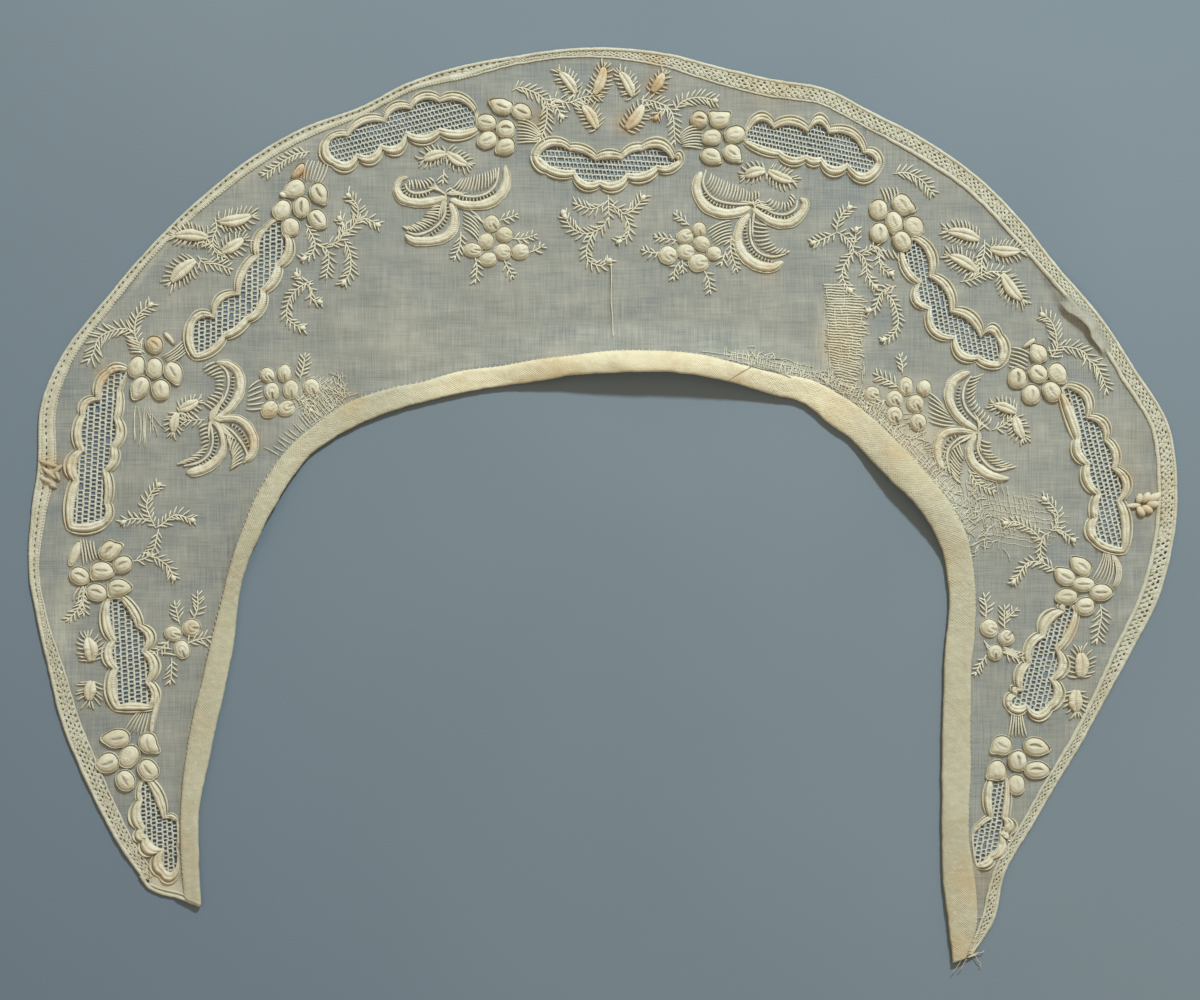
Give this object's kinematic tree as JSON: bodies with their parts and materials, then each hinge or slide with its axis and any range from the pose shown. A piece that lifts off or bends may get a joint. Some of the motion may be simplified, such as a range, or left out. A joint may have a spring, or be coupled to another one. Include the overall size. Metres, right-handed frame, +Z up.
{
  "type": "embroidered collar",
  "caption": "Crescent whitework collar lying flat: sheer muslin with net-filled scalloped windows, padded berries and plumes, a folded neck tape and a narrow lace edge.",
  "frame": {"origin": "centre of the bounding box in plan, on the surface the collar lies on", "axes": "+X across the collar from its left point to its right point, +Y from the points towards the centre back, +Z up out of the embroidered face"},
  "size_m": [0.3444, 0.2744, 0.0087],
  "materials": {
    "muslin": "sheer plain-weave cotton muslin, aged",
    "tape": "matt folded cotton tape, aged",
    "lace": "matt cotton bobbin lace and rolled hem",
    "net": "fine open cotton net worked in drawn threads",
    "embroidery": "padded cotton satin stitch, soft sheen"
  },
  "bodies": {
    "root": {"muslin_ground": "muslin", "neck_tape": "tape", "lace_edging": "lace", "window_border_01": "embroidery", "net_panel_01": "net", "window_border_02": "embroidery", "net_panel_02": "net", "window_border_03": "embroidery", "net_panel_03": "net", "window_border_04": "embroidery", "net_panel_04": "net", "window_border_05": "embroidery", "net_panel_05": "net", "window_border_06": "embroidery", "net_panel_06": "net", "window_border_07": "embroidery", "net_panel_07": "net", "window_border_08": "embroidery", "net_panel_08": "net", "window_border_09": "embroidery", "net_panel_09": "net", "window_border_10": "embroidery", "net_panel_10": "net", "window_border_11": "embroidery", "net_panel_11": "net", "berry_cluster_01": "embroidery", "berry_cluster_02": "embroidery", "berry_cluster_03": "embroidery", "berry_cluster_04": "embroidery", "berry_cluster_05": "embroidery", "berry_cluster_06": "embroidery", "berry_cluster_07": "embroidery", "berry_cluster_08": "embroidery", "berry_cluster_09": "embroidery", "berry_cluster_10": "embroidery", "berry_bunch_01": "embroidery", "berry_bunch_02": "embroidery", "berry_bunch_03": "embroidery", "berry_bunch_04": "embroidery", "berry_bunch_05": "embroidery", "berry_bunch_06": "embroidery", "plume_01": "embroidery", "plume_02": "embroidery", "plume_03": "embroidery", "plume_04": "embroidery"}
  },
  "joints": []
}
